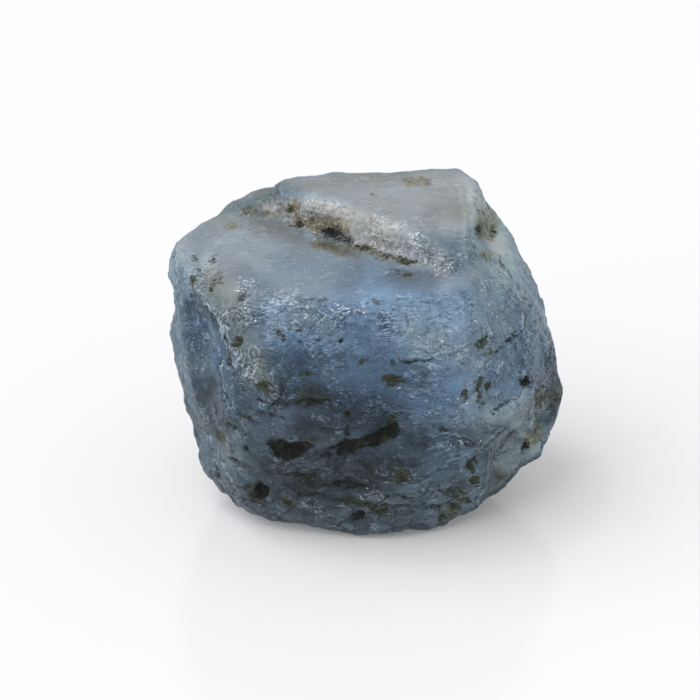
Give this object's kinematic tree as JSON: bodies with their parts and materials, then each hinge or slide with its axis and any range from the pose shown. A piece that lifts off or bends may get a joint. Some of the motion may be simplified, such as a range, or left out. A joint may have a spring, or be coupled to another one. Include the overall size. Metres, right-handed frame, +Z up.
{
  "type": "rough sapphire",
  "caption": "Uncut blue-grey sapphire crystal: a blocky, water-worn stone with a stepped flat top, sloping sides and a small flat spot that it rests on.",
  "frame": {"origin": "centre of the bounding box at its lowest level, on the flat spot that the stone rests on", "axes": "+Z up, +X to the right along the stone's longest side, +Y away from its broad front face"},
  "size_m": [0.0202, 0.0158, 0.0155],
  "materials": {
    "sapphire": "milky, semi-lustrous, water-worn"
  },
  "bodies": {
    "root": {"rough_sapphire": "sapphire"}
  },
  "joints": []
}
